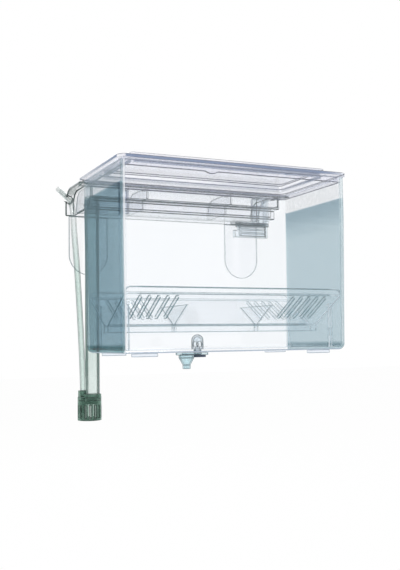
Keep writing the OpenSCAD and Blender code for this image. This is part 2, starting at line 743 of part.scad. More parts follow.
module tray_plate_form() {
    length = box_length - 2 * tray_start;
    difference() {
        intersection() {
            along(tray_start, length) tray_side();
            translate([tray_start, tray_start, 0]) linear_extrude(tray_rim)
                plan(length, box_depth - 2 * tray_start, corner_radius - wall);
            translate([tray_start, box_depth, 0]) rotate([90, 0, 0]) linear_extrude(box_depth) {
                square([length, tray_rim - tray_corner]);
                translate([tray_corner, 0]) square([length - 2 * tray_corner, tray_rim]);
                for (x = [tray_corner, length - tray_corner])
                    translate([x, tray_rim - tray_corner]) circle(tray_corner, $fn = round_fn);
            }
        }
        for (i = [0 : slot_count - 1]) {
            slope_slot(slot_start + i * slot_pitch);
            slope_slot(box_length - slot_start - i * slot_pitch);
        }
    }
    for (x = [leg_x, box_length - leg_x - leg_width]) along(x, leg_width) polygon([
        [leg_inset_y, floor_thickness], [leg_inset_y + leg_thickness, floor_thickness],
        [leg_inset_y + leg_thickness, leg_top(leg_inset_y + leg_thickness)],
        [leg_inset_y, leg_top(leg_inset_y)]
    ]);
}

module tray_front_plate() seated() color(clear_plastic) tray_plate_form();

module tray_back_plate() seated() color(clear_plastic)
    translate([0, box_depth, 0]) mirror([0, 1, 0]) tray_plate_form();

// A triangular web that ties the two plates together, with a tab down the chute
module tray_web(x) seated() color(clear_plastic) {
    edge = tray_start + tray_plate + (slope_top - web_top) / tan(slope_angle);
    along(x - tray_plate / 2, tray_plate) polygon([
        [edge, web_top], [chute_y, tray_throat], [chute_y, tray_mouth],
        [box_depth - chute_y, tray_mouth], [box_depth - chute_y, tray_throat], [box_depth - edge, web_top]
    ]);
}

module tray_web_left() tray_web(web_x);
module tray_web_right() tray_web(box_length - web_x);

// Plan of the flange: a bar with round ends from the nozzle to the valve
module flange_plan(width) {
    translate([nozzle_x, drain_y - width / 2]) square([valve_offset, width]);
    for (x = [nozzle_x, valve_x]) translate([x, drain_y]) circle(d = width, $fn = round_fn);
}

module drain_outlet() seated() color(clear_plastic) difference() {
    union() {
        translate([0, 0, flange_bottom]) linear_extrude(flange_thickness) flange_plan(flange_width);
        translate([nozzle_x, drain_y, cone_top])
            cylinder(h = nozzle_band, d = nozzle_top, $fn = round_fn);
        translate([nozzle_x, drain_y, cone_bottom])
            cylinder(h = cone_length, d1 = tip_od, d2 = nozzle_top, $fn = round_fn);
        translate([nozzle_x, drain_y, cone_bottom - tip_length])
            cylinder(h = tip_length, d = tip_od, $fn = round_fn);
    }
    wide_id = nozzle_top - tip_od + tip_id;
    translate([nozzle_x, drain_y, cone_top])
        cylinder(h = nozzle_band + passage_floor, d = wide_id, $fn = round_fn);
    translate([nozzle_x, drain_y, cone_bottom])
        cylinder(h = cone_length, d1 = tip_id, d2 = wide_id, $fn = round_fn);
    translate([nozzle_x, drain_y, cone_bottom - tip_length - cut])
        cylinder(h = tip_length + 2 * cut, d = tip_id, $fn = round_fn);
    translate([0, 0, flange_bottom + passage_floor]) linear_extrude(flange_thickness)
        flange_plan(neck_od + 2 * passage_side);
    translate([valve_x, drain_y, flange_bottom - cut])
        cylinder(h = flange_thickness + 2 * cut, r = neck_od / 2 + neck_fit, $fn = round_fn);
}

module drain_gasket() seated() color(gasket_rubber) translate([0, 0, flange_top])
    linear_extrude(gasket_thickness) difference() {
        flange_plan(flange_width);
        flange_plan(flange_width - 2 * gasket_ring);
    }

module drain_valve() seated() color(clear_plastic) translate([valve_x, drain_y, 0]) difference() {
    shaft = dome_height - dome_radius;
    union() {
        translate([0, 0, floor_thickness]) cylinder(h = shaft, r = dome_radius, $fn = round_fn);
        translate([0, 0, floor_thickness + shaft]) sphere(dome_radius, $fn = round_fn);
        translate([0, 0, flange_bottom])
            cylinder(h = floor_thickness - flange_bottom + cut, d = neck_od, $fn = round_fn);
    }
    translate([0, 0, floor_thickness + dome_wall]) {
        cylinder(h = shaft - dome_wall, r = dome_radius - dome_wall, $fn = round_fn);
        translate([0, 0, shaft - dome_wall]) sphere(dome_radius - dome_wall, $fn = round_fn);
    }
    translate([0, 0, flange_bottom + passage_floor])
        cylinder(h = floor_thickness + dome_wall - flange_bottom, d = neck_id, $fn = round_fn);
    translate([0, 0, floor_thickness + dome_wall + port_diameter / 2])
        rotate([0, 90, 90]) cylinder(h = dome_od + cut, d = port_diameter, center = true, $fn = round_fn);
    translate([0, 0, flange_bottom + passage_floor + neck_port / 2]) rotate([-90, 0, 0])
        cylinder(h = neck_od, d = neck_port, $fn = small_fn);
}

module drain_lever() seated() color(lever_plastic)
    translate([valve_x, drain_y, flange_bottom - lever_thickness]) {
        straight = lever_length - lever_width / 2;
        cylinder(h = lever_thickness, d = neck_od, $fn = round_fn);
        translate([0, -lever_width / 2, 0]) cube([straight, lever_width, lever_thickness]);
        translate([straight, 0, 0]) cylinder(h = lever_thickness, d = lever_width, $fn = round_fn);
    }

box_shell();
foot_front_left();
foot_front_right();
foot_back_left();
foot_back_right();
lid();
rim_hook();
left_divider();
right_divider();
left_tongue();
right_tongue();
inlet_spout();
outlet_duct();
outlet_guard();
lift_tube();
strainer_cap();
strainer_cage();
air_nozzle();
air_hose();
tray_front_plate();
tray_back_plate();
tray_web_left();
tray_web_right();
drain_outlet();
drain_gasket();
drain_valve();
drain_lever();
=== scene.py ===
"""Dresses a hang-on fish breeding box: clear plastic box, lid, hook, fry tray, air lift and drain.

Laid out as a Blender add-on and run as a script. Everything is in metres, with the origin in
the middle of the seat that rests on the tank's wall, +X along the box, +Y to the tank, +Z up.
"""

import json
import math

import bmesh
import bpy
import numpy as np
from bpy.props import FloatProperty, FloatVectorProperty, IntProperty, PointerProperty
from mathutils import Matrix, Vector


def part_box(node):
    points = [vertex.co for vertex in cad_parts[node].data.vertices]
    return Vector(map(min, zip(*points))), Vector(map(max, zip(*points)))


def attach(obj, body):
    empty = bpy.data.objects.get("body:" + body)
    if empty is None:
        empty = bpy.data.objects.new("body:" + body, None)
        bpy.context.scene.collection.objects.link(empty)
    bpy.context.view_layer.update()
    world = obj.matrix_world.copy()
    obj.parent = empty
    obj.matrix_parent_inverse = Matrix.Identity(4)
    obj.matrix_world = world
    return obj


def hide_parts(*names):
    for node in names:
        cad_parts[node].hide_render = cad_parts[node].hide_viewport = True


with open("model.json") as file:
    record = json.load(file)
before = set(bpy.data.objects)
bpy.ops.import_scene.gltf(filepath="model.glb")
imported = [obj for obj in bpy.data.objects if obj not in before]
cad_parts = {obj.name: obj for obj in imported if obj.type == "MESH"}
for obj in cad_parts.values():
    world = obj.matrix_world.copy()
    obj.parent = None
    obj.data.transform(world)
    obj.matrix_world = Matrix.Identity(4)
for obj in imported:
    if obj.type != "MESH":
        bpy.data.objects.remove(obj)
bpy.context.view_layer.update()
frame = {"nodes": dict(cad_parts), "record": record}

bl_info = {
    "name": "Fish breeding box",
    "version": (1, 0, 0),
    "blender": (4, 5, 0),
    "location": "3D View > Sidebar > Breeding box",
    "description": "Dresses the pieces of a clear hang-on fish breeding box",
    "category": "Object",
}

# Points that the air hose follows, from its socket on the strainer cap to its free end
HOSE_ROUTE = np.array([
    (-0.0861, 0.0289, -0.1625), (-0.0861, 0.0289, -0.155), (-0.08635, 0.02912, -0.14237),
    (-0.0867, 0.0294, -0.13), (-0.08736, 0.02987, -0.11237), (-0.0881, 0.0304, -0.095),
    (-0.08901, 0.03107, -0.07498), (-0.09, 0.0318, -0.055), (-0.09087, 0.03239, -0.04089),
    (-0.0918, 0.033, -0.027), (-0.0925, 0.0334, -0.014), (-0.0926, 0.0346, -0.0065),
    (-0.0928, 0.038, 0.0005), (-0.0932, 0.0426, 0.0049), (-0.0943, 0.048, 0.0086),
    (-0.0959, 0.0545, 0.0129), (-0.09795, 0.06285, 0.01835),
])

X, Y, Z = range(3)

# Noise in the plastics, in waves per metre
RIPPLES, CLOUDS, SCRATCHES, GRAIN = 38, 22, 60, 900
MOULDED_CLOUDS, MOULDED_GRAIN = 45, 1400

# What clear plastic mirrors when it is seen square on, and how much more of it at a glance
MIRROR_BASE, MIRROR_GAIN = 0.04, 0.9

# Merging a CAD node's loose triangles: vertices this near are one, faces this flat are one,
# and an edge sharper than this is eased
WELD_DISTANCE = 2e-6
FLAT_ANGLE = math.radians(0.4)
SHARP_ANGLE = math.radians(28)
BEVEL_SEGMENTS = 2

# Sharp enough for the cut ends of a tube and not for its round sides
CUT_ANGLE = math.radians(40)


def colour(name, text, default):
    return FloatVectorProperty(name=name, description=text, subtype="COLOR", size=3,
                               min=0, max=1, default=default)


def length(name, text, default):
    return FloatProperty(name=name, description=text, unit="LENGTH", subtype="DISTANCE",
                         precision=5, min=0, default=default)


def share(name, text, default):
    return FloatProperty(name=name, description=text, subtype="FACTOR", min=0, max=1,
                         default=default)


class StageSettings(bpy.types.PropertyGroup):
    camera_place: FloatVectorProperty(name="Camera", description="Where the camera stands",
                                      subtype="TRANSLATION", unit="LENGTH",
                                      default=(-0.27968, -0.62261, -0.11636))
    camera_turn: FloatProperty(name="Camera turn", description="Turn to the right from +Y",
                               subtype="ANGLE", unit="ROTATION", default=0.4358)
    camera_tilt: FloatProperty(name="Camera tilt", description="Tilt above the horizon",
                               subtype="ANGLE", unit="ROTATION", default=0.0682)
    camera_roll: FloatProperty(name="Camera roll", description="Roll about the line of sight",
                               subtype="ANGLE", unit="ROTATION", default=-0.0143)
    lens: FloatProperty(name="Lens", description="Focal length in millimetres on a 36 mm side",
                        default=50.2)
    floor_drop: length("Floor drop", "How far the floor lies below the seat", 0.42)
    floor_reach: length("Floor reach", "How far the floor reaches from its middle", 6.0)
    floor_tint: colour("Floor", "Colour of the floor", (0.94, 0.945, 0.95))
    floor_cloud: colour("Floor clouds", "Colour of the floor's soft clouds", (0.96, 0.96, 0.965))
    floor_glow: share("Floor glow", "How white the floor looks to the camera", 0.97)
    world_level: share("Room light", "Brightness of the room's even light", 0.62)


class WallSettings(bpy.types.PropertyGroup):
    tint: colour("Walls", "What one surface of the walls lets through", (0.99, 0.995, 1.0))
    haze: colour("Wall haze", "Colour of the walls' own haze", (0.78, 0.86, 0.9))
    # Painted shade: the ends' grey-teal, darker at their foot, stands in for the dark that
    # refraction gives
    left_end_shade: colour("Left end", "What one surface of the left end wall lets through",
                     (0.495, 0.61, 0.66))
    right_end_shade: colour("Right end", "What one surface of the right end wall lets through",
                      (0.7, 0.78, 0.81))
    left_foot_shade: colour("Left end's foot", "What the foot of the left end wall lets through",
                      (0.13, 0.28, 0.3))
    right_foot_shade: colour("Right end's foot", "What the foot of the right end wall lets through",
                       (0.34, 0.46, 0.5))
    end_top: colour("Ends' top", "What one surface of the end walls lets through at the top",
                    (0.92, 0.925, 0.93))
    end_top_height: length("Ends' top height", "Height of the pale top of the end walls", 0.0165)
    streaks: colour("Ends' streaks", "What the pale streaks in the end walls let through",
                    (0.74, 0.82, 0.86))
    mottle: colour("Top's mottle", "What the pale dots in the end walls' top let through",
                   (0.97, 0.97, 0.975))
    # Painted shade: the dark line that refraction gives in the underside's rounded edge
    under_edge_shade: colour("Under edge", "Colour that gathers in the rounded edge of the underside",
                       (0.27, 0.36, 0.48))
    # Painted highlights and painted shade: pale and teal stripes that stand in for refraction in
    # the corners
    painted_corner_highlight: colour("Pale stripes", "Colour of the pale stripes in the upright corners",
                        (0.93, 0.95, 0.98))
    painted_corner_shade: colour("Teal stripes", "Colour of the teal stripes in the upright corners",
                        (0.2, 0.34, 0.38))
    # Painted shade along the walls' rounded edges, where refraction darkens them
    arris: colour("Wall arrises", "Colour of the walls' rounded edges", (0.7, 0.74, 0.84))
    arris_width: length("Wall arris", "Width of the walls' rounded edges", 0.0006)


class LidSettings(bpy.types.PropertyGroup):
    tint: colour("Lid", "What one surface of the lid lets through", (0.975, 0.972, 0.99))
    # Painted shade: the rim's and the panel sides' deeper colours stand in for refraction through
    # them
    rim: colour("Lid rim", "Colour that gathers in the lid's rim", (0.18, 0.235, 0.36))
    rim_height: length("Lid rim height", "Height of the lid's violet rim", 0.003)
    panel_side_shade: colour("Panel side", "Colour that gathers in the raised panel's sides",
                       (0.3, 0.37, 0.5))
    panel_height: length("Panel side height", "Height of the colour on the panel's sides", 0.01)
    # Painted shade along the lid's edges, where refraction darkens them
    arris: colour("Lid arrises", "Colour that gathers at the lid's edges", (0.065, 0.075, 0.12))
    arris_width: length("Lid arris", "Width of the rounded edges of the lid", 0.0006)


class HookSettings(bpy.types.PropertyGroup):
    tint: colour("Hook", "What one surface of the hook lets through", (0.985, 0.985, 0.993))
    # Painted shade in the left end of the hood
    end_shade: colour("Hood's end", "Colour that gathers in the left end of the hood",
                      (0.17, 0.26, 0.22))
    # Painted shade along the edges of the hook's plates, the spout and the outlet
    arris: colour("Hook arrises", "Colour that gathers at the edges of the hook's plates",
                  (0.016, 0.045, 0.038))
    arris_width: length("Hook arris", "Width of the rounded edges of the hook", 0.0009)
    divider_arris_width: length("Divider arris", "Width of the dividers' rounded edges", 0.0004)
    tongue: colour("Tongues", "What one surface of the tongues lets through", (0.99, 0.99, 0.995))
    # Painted shade along the tongues' edges
    tongue_edge_shade: colour("Tongue arrises", "Colour that gathers at the tongues' edges",
                         (0.18, 0.24, 0.26))
    tongue_arris_width: length("Tongue arris", "Width of the tongues' rounded edges", 0.0004)


class TraySettings(bpy.types.PropertyGroup):
    tint: colour("Tray", "What one surface of the tray lets through", (0.985, 0.99, 0.995))
    haze: colour("Tray haze", "Colour of the tray's own haze", (0.86, 0.92, 0.95))
    # Painted shade along the plates' edges, where refraction darkens them
    near_edge_shade: colour("Tray arrises", "Colour that gathers at the front plate's edges",
                       (0.045, 0.17, 0.2))
    far_edge_shade: colour("Tray's far arrises", "Colour that gathers at the back plate's edges",
                      (0.2, 0.32, 0.36))
    # Painted light: the plates' edges turn pale near both ends, where they show light through the
    # end walls
    end_edge_light: colour("Tray's end arrises", "Colour of the plates' edges near both ends",
                      (0.7, 0.78, 0.82))
    near_width: length("Tray arris", "Width of the rounded edges of the tray's front plate",
                       0.0006)
    far_width: length("Far arris", "Width of the rounded edges of the tray's other plates",
                      0.0005)
    rim_bend: length("Rim bend", "Radius of the front plate's upper corners", 0.005)
    # Painted shade: a dark line along the front plate's rim
    rim_shade_line: length("Tray rim line", "Width of the dark line along the front plate's rim", 0.001)


class FittingSettings(bpy.types.PropertyGroup):
    foot: colour("Feet", "What one surface of the feet lets through", (0.93, 0.95, 0.98))
    foot_width: length("Foot arris", "Width of the feet's rounded edges", 0.0004)
    spout: colour("Spout", "What one surface of the spout lets through", (0.93, 0.94, 0.97))
    outlet: colour("Outlet", "What one surface of the outlet lets through", (0.96, 0.975, 0.985))
    tube: colour("Lift tube", "What one surface of the lift tube lets through",
                 (0.95, 0.975, 0.965))
    # Painted shade along the lift tube's sides, where refraction darkens them
    tube_shade: colour("Tube's shade", "Colour that gathers along the lift tube's sides",
                       (0.1, 0.19, 0.155))
    strainer: colour("Strainer", "Colour of the strainer", (0.13, 0.25, 0.19))
    drain: colour("Drain", "What one surface of the drain lets through", (0.87, 0.94, 0.955))
    valve: colour("Valve", "What one surface of the drain valve lets through",
                  (0.93, 0.95, 0.965))
    lever: colour("Lever", "Colour of the drain lever", (0.06, 0.085, 0.13))
    gasket: colour("Gasket", "Colour of the gasket", (0.02, 0.022, 0.024))
    fine_width: length("Fine arris", "Width of the rounded edges of the spout, outlet, lift tube "
                       "and lever", 0.0003)
    strainer_width: length("Strainer arris", "Width of the strainer's rounded edges", 0.00028)
    drain_width: length("Drain arris", "Width of the drain's rounded edges", 0.00025)
    gasket_width: length("Gasket arris", "Width of the gasket's rounded edges", 0.0001)


class HoseSettings(bpy.types.PropertyGroup):
    outer: length("Outside", "Outside diameter of the air hose", 0.005)
    bore: length("Bore", "Bore of the air hose", 0.0032)
    steps: IntProperty(name="Steps", description="Rings between two points of the route",
                       min=2, max=24, default=10)
    sides: IntProperty(name="Sides", description="Sides of each ring", min=8, max=64, default=28)
    low_tint: colour("Hose", "What one surface of the hose's lower part lets through",
                     (0.92, 0.96, 0.945))
    high_tint: colour("Hose end", "What one surface of the hose's free end lets through",
                      (0.992, 0.995, 0.994))
    # Painted shade along the hose's sides, where refraction darkens them
    shade: colour("Hose shade", "Colour that gathers along the hose's sides", (0.13, 0.2, 0.175))


def settings(kind):
    return getattr(bpy.context.scene, "breeding_box_" + kind)


# ---- materials -------------------------------------------------------------------------------

class Nodes:
    """The node tree of a material or of the room."""

    def __init__(self, owner):
        owner.use_nodes = True
        self.tree = owner.node_tree
        self.tree.nodes.clear()

    def add(self, kind, inputs=None, **values):
        node = self.tree.nodes.new(kind)
        for key, value in values.items():
            setattr(node, key, value)
        for key, value in (inputs or {}).items():
            self.set(node.inputs[key], value)
        return node

    def set(self, socket, value):
        if isinstance(value, bpy.types.NodeSocket):
            self.tree.links.new(value, socket)
        elif isinstance(value, bpy.types.Node):
            self.tree.links.new(value.outputs[0], socket)
        elif socket.type == "RGBA" and len(value) == 3:
            socket.default_value = (*value, 1)
        else:
            socket.default_value = value

    def math(self, operation, a, b=0.0, clamp=False):
        return self.add("ShaderNodeMath", {0: a, 1: b}, operation=operation,
                        use_clamp=clamp).outputs[0]

    def plus(self, a, b, clamp=False):
        return self.math("ADD", a, b, clamp)

    def less(self, a, b):
        return self.math("SUBTRACT", a, b)

    def times(self, first, *others):
        for other in others:
            first = self.math("MULTIPLY", first, other)
        return first

    def most(self, first, *others):
        for other in others:
            first = self.math("MAXIMUM", first, other)
        return first

    def size(self, value):
        return self.math("ABSOLUTE", value)

    def ramp(self, value, low, high, to_low=0.0, to_high=1.0):
        return self.add("ShaderNodeMapRange", {
            "Value": value, "From Min": low, "From Max": high, "To Min": to_low,
            "To Max": to_high}, interpolation_type="SMOOTHSTEP").outputs[0]

    def blend(self, amount, a, b):
        return self.add("ShaderNodeMix", {0: amount, 6: a, 7: b}, data_type="RGBA").outputs[2]

    def mix(self, amount, a, b):
        return self.add("ShaderNodeMixShader", {0: amount, 1: a, 2: b})


class Finish(Nodes):
    """A material, built from the surface backwards."""

    def __init__(self, name):
        self.material = bpy.data.materials.new(name)
        super().__init__(self.material)
        self.coords = self.add("ShaderNodeTexCoord")

    def place(self):
        """X, Y and Z of the point, in the object's coordinates."""
        return self.add("ShaderNodeSeparateXYZ", {0: self.coords.outputs["Object"]}).outputs

    def normal(self):
        """X, Y and Z of the surface's normal, in the object's coordinates."""
        return self.add("ShaderNodeSeparateXYZ", {0: self.coords.outputs["Normal"]}).outputs

    def stretched(self, scale, turn=(0, 0, 0)):
        return self.add("ShaderNodeMapping", {"Vector": self.coords.outputs["Object"],
                                              "Scale": scale, "Rotation": turn}).outputs[0]

    def noise(self, scale, detail=2.0, vector=None):
        return self.add("ShaderNodeTexNoise", {
            "Vector": vector or self.coords.outputs["Object"], "Scale": scale,
            "Detail": detail}).outputs[0]

    def bump(self, height, strength, distance):
        return self.add("ShaderNodeBump", {"Height": height, "Strength": strength,
                                           "Distance": distance}).outputs[0]

    def facing(self):
        """0 where the surface is seen square on, 1 at a glance."""
        return self.add("ShaderNodeLayerWeight", {"Blend": 0.5}).outputs["Facing"]

    def value_of(self, part):
        """A part of a finish is a plain value, or a function of the finish that gives one."""
        return part(self) if callable(part) else part

    def done(self, shader):
        self.add("ShaderNodeOutputMaterial", {"Surface": shader})
        return self.material


def between(f, value, low, high, soft):
    """1 where the value lies between low and high, 0 outside them."""
    return f.times(f.ramp(value, low - soft, low + soft),
                   f.ramp(value, high - soft, high + soft, 1.0, 0.0))


def slab(f, axis, low, high, soft=0.0004):
    """1 between two places along an axis of the object's coordinates, 0 outside them."""
    return between(f, f.place()[axis], low, high, soft)


def faces_along(f, *axes):
    """1 on faces that look along one of the axes, 0 on the others."""
    normal = f.normal()
    return f.ramp(f.most(*(f.size(normal[axis]) for axis in axes)), 0.9, 0.985)


def end_faces(f):
    """1 on faces that look more along X than along Y, down to the rounded foot of the ends."""
    normal = f.normal()
    return f.ramp(f.less(f.size(normal[X]), f.size(normal[Y])), 0.02, 0.1)


def corner(side, face, low, high):
    """A mask of a stripe of an upright outside corner, for its painted highlights and painted
    shade:
    the one on the side (-1 left, 1 right) and the face (-1 front, 1 back), where the normal's
    share along X lies from low to high."""
    def mask(f):
        normal = f.normal()
        here = f.ramp(f.times(f.place()[X], side), 0.0, 0.02)
        stripe = between(f, f.times(normal[X], side), low, high, 0.04)
        turned = f.ramp(f.times(normal[Y], face), 0.02, 0.06)
        return f.times(here, stripe, turned)
    return mask


def outline(low, high):
    """A mask that is 1 where a round form turns away, for painted shade that stands in for the
    dark that refraction gives there.
    """
    return lambda f: f.ramp(f.facing(), low, high)


def clear_plastic(name, tint, body, density, edge_gain, edge_body=(0.14, 0.24, 0.26),
                  edge_power=3.0, roughness=0.05, gloss_gain=MIRROR_GAIN, bands=()):
    """Thin clear plastic: light goes straight through the tint, a body haze lies in it, painted
    shade in edge_body gathers where the surface turns away, standing in for the dark that
    refraction gives there, and a mirror gloss lies over all by Schlick's rule
    MIRROR_BASE + gloss_gain * facing ** 5. Each band is a mask, a density and a body colour.
    A mask is a function of the finish, and the tint, gloss_gain, a band's density and its
    colour may be."""
    f = Finish(name)
    grain = f.noise(GRAIN, 3)
    scratches = f.noise(SCRATCHES, 2, f.stretched((1, 26, 5), (0.3, 0.2, 0.9)))
    waves = f.plus(f.times(f.noise(RIPPLES), 0.8), f.times(grain, 0.05))
    normal = f.bump(waves, 0.3, 0.0005)
    facing = f.facing()
    haze = f.plus(f.ramp(f.noise(CLOUDS, 3), 0.4, 0.8, 0.0, density * 0.8),
                  f.ramp(scratches, 0.68, 0.74, 0.0, density * 0.7))
    # Painted shade: more cover, in edge_body's colour, where the surface turns away
    edge = f.times(f.math("POWER", facing, edge_power), edge_gain)
    cover = f.plus(f.plus(haze, density * 0.5), edge, clamp=True)
    shade = f.blend(f.ramp(facing, 0.3, 0.9), body, edge_body)
    # The bands lay painted shade over the plastic, and in places painted light
    for mask, thick, paint in bands:
        side = mask(f)
        cover = f.most(cover, f.times(side, f.value_of(thick)))
        shade = f.blend(side, shade, f.value_of(paint))
    hollow = f.add("ShaderNodeBsdfTransparent", {"Color": f.value_of(tint)})
    solid = f.add("ShaderNodeBsdfPrincipled", {
        "Base Color": shade, "Roughness": f.ramp(grain, 0.3, 0.7, 0.22, 0.34),
        "Specular IOR Level": 0.3, "Normal": normal})
    mirror = f.add("ShaderNodeBsdfGlossy", {
        "Color": (0.96, 0.98, 1.0), "Normal": normal,
        "Roughness": f.ramp(grain, 0.3, 0.7, roughness * 0.7, roughness * 1.5)})
    gloss = f.plus(f.times(f.math("POWER", facing, 5.0), f.value_of(gloss_gain)), MIRROR_BASE,
                   clamp=True)
    return f.done(f.mix(gloss, f.mix(cover, hollow, solid), mirror))


def edge_plastic(name, paint, density, tint=(0.8, 0.86, 0.88)):
    """The rounded edge of a clear plate, where painted shade stands in for the dark line that
    refraction gives along it.
    """
    plain = (0.5, 0.56, 0.6) if callable(paint) else paint
    return clear_plastic(name, tint, plain, 0.02, 0.2, plain, bands=[
        (lambda f: f.ramp(f.noise(160), 0.2, 0.6, 0.75, 1.0), density, paint)])


def moulded_plastic(name, tint, roughness, clear=0.0):
    """Coloured plastic with a fine moulded grain, slightly see-through where clear is over 0."""
    f = Finish(name)
    cloud, grain = f.noise(MOULDED_CLOUDS, 3), f.noise(MOULDED_GRAIN)
    pale = [min(1, c * 1.6 + 0.02) for c in tint]
    solid = f.add("ShaderNodeBsdfPrincipled", {
        "Base Color": f.blend(f.ramp(cloud, 0.3, 0.7, 0.0, 0.6), tint, pale),
        "Roughness": f.ramp(grain, 0.3, 0.7, roughness * 0.8, roughness * 1.2),
        "Specular IOR Level": 0.5, "Normal": f.bump(grain, 0.25, 0.0001)})
    if not clear:
        return f.done(solid)
    hollow = f.add("ShaderNodeBsdfTransparent", {"Color": [c ** 0.15 for c in tint]})
    return f.done(f.mix(f.ramp(f.facing(), 0.0, 0.9, 1 - clear, 1.0), hollow, solid))


# ---- meshes ----------------------------------------------------------------------------------

def finished(name, mesh, node, materials):
    """Links a mesh as the piece that stands for a node, on the node's body."""
    piece = bpy.data.objects.new(name, mesh)
    bpy.context.scene.collection.objects.link(piece)
    for material in materials:
        mesh.materials.append(material)
    record = frame["record"]
    bodies = record["behaviour"]["bodies"].items()
    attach(piece, next(body for body, members in bodies if node in members))
    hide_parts(node)
    return piece


def eased(node, materials, width):
    """A merged copy of a node whose sharp edges are eased by a bevel with its own finish."""
    form = bmesh.new()
    form.from_mesh(frame["nodes"][node].data)
    bmesh.ops.remove_doubles(form, verts=form.verts, dist=WELD_DISTANCE)
    bmesh.ops.dissolve_limit(form, angle_limit=FLAT_ANGLE, verts=form.verts, edges=form.edges)
    for face in form.faces:
        face.smooth = True
        face.material_index = 0
    mesh = bpy.data.meshes.new("eased_" + node)
    form.to_mesh(mesh)
    form.free()
    mesh.set_sharp_from_angle(angle=SHARP_ANGLE)
    piece = finished("eased_" + node, mesh, node, materials)
    bevel = piece.modifiers.new("Arrises", "BEVEL")
    bevel.width = width
    bevel.segments = BEVEL_SEGMENTS
    bevel.limit_method = "ANGLE"
    bevel.angle_limit = SHARP_ANGLE
    bevel.material = 1 if len(materials) > 1 else -1
    bevel.use_clamp_overlap = False
    weighted = piece.modifiers.new("Normals", "WEIGHTED_NORMAL")
    weighted.keep_sharp = True


def smooth_path(points, steps):
    """Catmull-Rom curve through the points: between b and c it is half of
    2b + (c-a)t + (2a-5b+4c-d)t^2 + (3b-a-3c+d)t^3."""
    ends = np.vstack([points[:1], points, points[-1:]])
    a, b, c, d = (ends[i:len(points) - 1 + i, None] for i in range(4))
    t = (np.arange(steps) / steps)[None, :, None]
    curve = 0.5 * (2 * b + (c - a) * t + (2 * a - 5 * b + 4 * c - d) * t ** 2
                   + (3 * b - a - 3 * c + d) * t ** 3)
    return np.vstack([curve.reshape(-1, 3), points[-1:]])


def tube(name, path, outer, bore, sides):
    """A hollow tube: rings of radius outer, then of radius bore, round each point of the path,
    in the plane square to it, joined along the path and across both ends."""
    ahead = np.gradient(path, axis=0)
    ahead /= np.linalg.norm(ahead, axis=1)[:, None]
    side = np.cross((0.0, 1.0, 0.0), ahead)
    side /= np.linalg.norm(side, axis=1)[:, None]
    up = np.cross(ahead, side)
    turn = np.linspace(0, 2 * np.pi, sides, endpoint=False)
    ring = np.cos(turn)[None, :, None] * side[:, None] + np.sin(turn)[None, :, None] * up[:, None]
    rings = np.stack([path[:, None] + outer * ring, path[:, None] + bore * ring])
    count = len(path)
    spot = np.arange(2 * count * sides).reshape(2, count, sides)
    after = np.roll(spot, -1, axis=2)
    skin = np.stack([spot[0, :-1], after[0, :-1], after[0, 1:], spot[0, 1:]], -1)
    inside = np.stack([spot[1, :-1], spot[1, 1:], after[1, 1:], after[1, :-1]], -1)
    near = np.stack([spot[0, 0], spot[1, 0], after[1, 0], after[0, 0]], -1)
    far = np.stack([spot[0, -1], after[0, -1], after[1, -1], spot[1, -1]], -1)
    faces = np.concatenate([part.reshape(-1, 4) for part in (skin, inside, near, far)])
    mesh = bpy.data.meshes.new(name)
    mesh.from_pydata(rings.reshape(-1, 3), [], faces.tolist())
    mesh.polygons.foreach_set("use_smooth", np.ones(len(faces), bool))
    mesh.set_sharp_from_angle(angle=CUT_ANGLE)
    return mesh


# ---- operators -------------------------------------------------------------------------------

